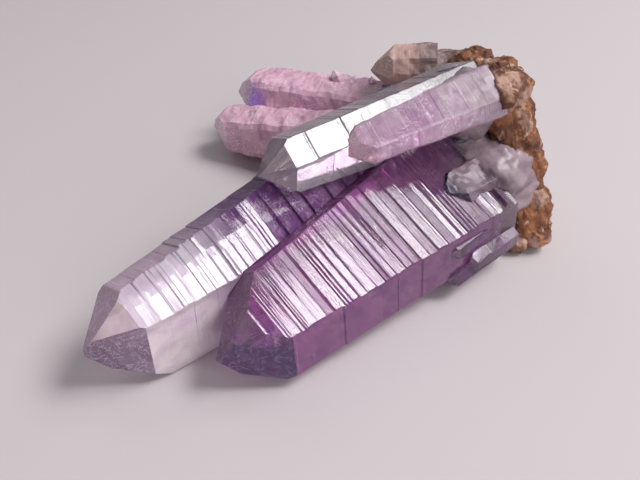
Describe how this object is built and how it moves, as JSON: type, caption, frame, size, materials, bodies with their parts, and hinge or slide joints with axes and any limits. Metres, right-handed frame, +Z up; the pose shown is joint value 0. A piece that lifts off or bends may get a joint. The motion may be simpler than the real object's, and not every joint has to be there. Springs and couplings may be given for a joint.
{
  "type": "amethyst cluster",
  "caption": "Spray of long amethyst points with striated prism faces and dark tips, lying on its side with its roots in a thin rust-stained plate of rock.",
  "frame": {"origin": "middle of the footprint on the surface that the specimen lies on", "axes": "+Z up, +X towards the rock plate at the root end, +Y away from the tips of the two long points, towards the rear crystals"},
  "size_m": [0.0574, 0.0634, 0.0265],
  "materials": {
    "amethyst": "clear purple quartz, darker at the tips and milky at the roots, striated across the prism faces",
    "pale_amethyst": "cloudy pink-violet quartz",
    "smoky_quartz": "cloudy greyish-brown quartz",
    "rusty_rock": "rough rust-stained rock, matt"
  },
  "bodies": {
    "root": {"crystal_cluster": "amethyst", "rear_crystal": "pale_amethyst", "brown_crystal": "smoky_quartz", "matrix": "rusty_rock"}
  },
  "joints": []
}
